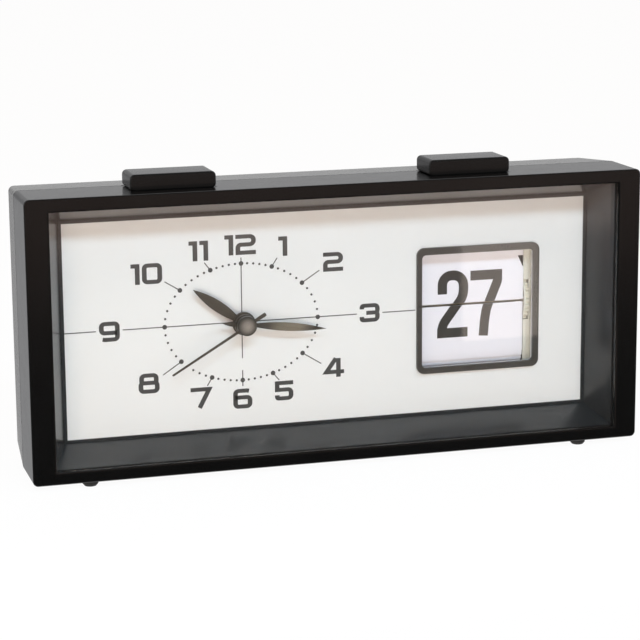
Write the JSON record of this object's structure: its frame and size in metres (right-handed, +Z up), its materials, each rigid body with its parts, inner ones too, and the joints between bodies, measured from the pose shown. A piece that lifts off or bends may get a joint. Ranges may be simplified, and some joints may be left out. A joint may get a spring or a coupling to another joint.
{
  "type": "desk clock with flip calendar",
  "caption": "Wide quartz desk clock: a white dial with pointer hands beside a flip-leaf date window, in a black case with two push buttons on top.",
  "frame": {"origin": "middle of the footprint, on the surface that the feet stand on", "axes": "+X along the case to the right as seen from the front, +Y from the front to the back, +Z up"},
  "size_m": [0.21, 0.0526, 0.1009],
  "materials": {
    "case_black": "smooth black moulded plastic with a slight sheen",
    "case_grey": "finely textured charcoal plastic",
    "button_black": "polished black plastic",
    "clear_lens": "clear polished acrylic",
    "rubber": "soft matte black rubber",
    "steel": "plated steel",
    "brass": "plain brass",
    "copper": "enamelled copper winding on a steel core",
    "dial_white": "matte white painted sheet with dark grey printing",
    "trim_dark": "dark grey moulded rim",
    "inner_white": "off-white moulded plastic",
    "ivory": "ivory acetal",
    "gear_plastic": "natural acetal",
    "hand_black": "black painted aluminium",
    "hand_red": "red painted aluminium",
    "card": "white plastic card with printed numerals",
    "board": "green circuit board",
    "battery": "plain wrapped dry cell"
  },
  "bodies": {
    "case": {"front_frame": "case_black", "rear_shell": "case_grey", "lens": "clear_lens", "dial_surround": "case_black", "feet": "rubber", "case_screws": "steel", "chassis_screws": "steel", "movement_screws": "steel", "calendar_screws": "steel", "dial_plate": "dial_white", "window_frame": "trim_dark", "inner_chassis": "inner_white", "movement_front": "inner_white", "movement_rear": "inner_white", "circuit_board": "board", "stepper_motor": "copper", "alarm_switch_case": "case_black", "buzzer": "brass", "battery_tray": "case_grey", "battery": "battery", "battery_contacts": "steel", "snooze_spring": "steel", "advance_spring": "steel", "snooze_contact": "case_black", "upper_leaves": "card", "lower_leaves": "card", "calendar_frame": "inner_white", "calendar_axle": "steel", "detent_spring": "brass", "leaf_catch": "steel"},
    "second_hand_body": {"second_hand": "hand_black", "second_arbor": "steel", "second_wheel": "gear_plastic"},
    "third_wheel_body": {"third_wheel": "gear_plastic"},
    "centre_wheel_body": {"centre_wheel": "gear_plastic"},
    "minute_hand_body": {"minute_hand": "hand_black", "minute_pipe": "brass"},
    "motion_wheel_body": {"motion_wheel": "gear_plastic"},
    "hour_hand_body": {"hour_hand": "hand_black", "hour_wheel": "brass"},
    "alarm_hand_body": {"alarm_hand": "hand_red", "alarm_wheel": "brass"},
    "time_knob_body": {"time_set_knob": "case_black", "time_set_stem": "gear_plastic"},
    "alarm_knob_body": {"alarm_set_knob": "case_black", "alarm_set_stem": "gear_plastic"},
    "alarm_switch_body": {"alarm_switch_slider": "hand_red"},
    "battery_door_body": {"battery_door": "case_grey"},
    "snooze_button_body": {"snooze_button": "button_black"},
    "advance_button_body": {"advance_button": "button_black", "advance_pawl": "steel"},
    "drum_body": {"calendar_drum": "inner_white", "drum_gear": "ivory", "drum_ratchet": "ivory"},
    "flip_leaf_body": {"flip_leaf": "card"}
  },
  "joints": [
    {"name": "second_hand_spin", "type": "hinge", "parent": "case", "child": "second_hand_body", "pos_m": [-0.031, 0, 0.0486], "axis": [0, 1, 0], "continuous": true},
    {"name": "third_wheel_spin", "type": "hinge", "parent": "case", "child": "third_wheel_body", "pos_m": [-0.04001, 0, 0.0486], "axis": [0, 1, 0], "continuous": true},
    {"name": "centre_wheel_spin", "type": "hinge", "parent": "case", "child": "centre_wheel_body", "pos_m": [-0.031, 0, 0.0486], "axis": [0, 1, 0], "continuous": true},
    {"name": "minute_hand_spin", "type": "hinge", "parent": "case", "child": "minute_hand_body", "pos_m": [-0.031, 0, 0.0486], "axis": [0, 1, 0], "continuous": true},
    {"name": "motion_wheel_spin", "type": "hinge", "parent": "case", "child": "motion_wheel_body", "pos_m": [-0.0262, 0, 0.05691], "axis": [0, 1, 0], "continuous": true},
    {"name": "hour_hand_spin", "type": "hinge", "parent": "case", "child": "hour_hand_body", "pos_m": [-0.031, 0, 0.0486], "axis": [0, 1, 0], "continuous": true},
    {"name": "time_knob_spin", "type": "hinge", "parent": "case", "child": "time_knob_body", "pos_m": [-0.0214, 0, 0.06523], "axis": [0, 1, 0], "continuous": true},
    {"name": "alarm_hand_spin", "type": "hinge", "parent": "case", "child": "alarm_hand_body", "pos_m": [-0.031, 0, 0.0486], "axis": [0, 1, 0], "continuous": true},
    {"name": "alarm_knob_spin", "type": "hinge", "parent": "case", "child": "alarm_knob_body", "pos_m": [-0.0256, 0, 0.03925], "axis": [0, 1, 0], "continuous": true},
    {"name": "alarm_switch_slide", "type": "slide", "parent": "case", "child": "alarm_switch_body", "axis": [1, 0, 0], "range_m": [0, 0.006]},
    {"name": "battery_door_slide", "type": "slide", "parent": "case", "child": "battery_door_body", "axis": [0, 1, 0], "range_m": [0, 0.03]},
    {"name": "snooze_press", "type": "slide", "parent": "case", "child": "snooze_button_body", "axis": [0, 0, 1], "range_m": [-0.0017, 0], "stiffness_N_per_m": 400, "springref_m": 0.001, "deforming": ["snooze_spring"]},
    {"name": "advance_press", "type": "slide", "parent": "case", "child": "advance_button_body", "axis": [0, 0, 1], "range_m": [-0.0017, 0], "stiffness_N_per_m": 400, "springref_m": 0.001, "deforming": ["advance_spring"]},
    {"name": "drum_step", "type": "hinge", "parent": "case", "child": "drum_body", "pos_m": [0, 0.003, 0.0486], "axis": [1, 0, 0], "range_deg": [0, 11.61], "deforming": ["detent_spring"]},
    {"name": "leaf_flip", "type": "hinge", "parent": "drum_body", "child": "flip_leaf_body", "pos_m": [0, -0.00565, 0.04948], "axis": [1, 0, 0], "range_deg": [0, 168.39]}
  ],
  "couplings": [
    {"joint": "third_wheel_spin", "follows": "second_hand_spin", "ratio": -0.13333},
    {"joint": "centre_wheel_spin", "follows": "second_hand_spin", "ratio": 0.016667},
    {"joint": "motion_wheel_spin", "follows": "minute_hand_spin", "ratio": -0.33333},
    {"joint": "hour_hand_spin", "follows": "minute_hand_spin", "ratio": 0.083333},
    {"joint": "time_knob_spin", "follows": "minute_hand_spin", "ratio": 1},
    {"joint": "alarm_knob_spin", "follows": "alarm_hand_spin", "ratio": -2},
    {"joint": "drum_step", "follows": "advance_press", "rad_per_m": -119.21},
    {"joint": "leaf_flip", "follows": "advance_press", "rad_per_m": -1728.6}
  ]
}
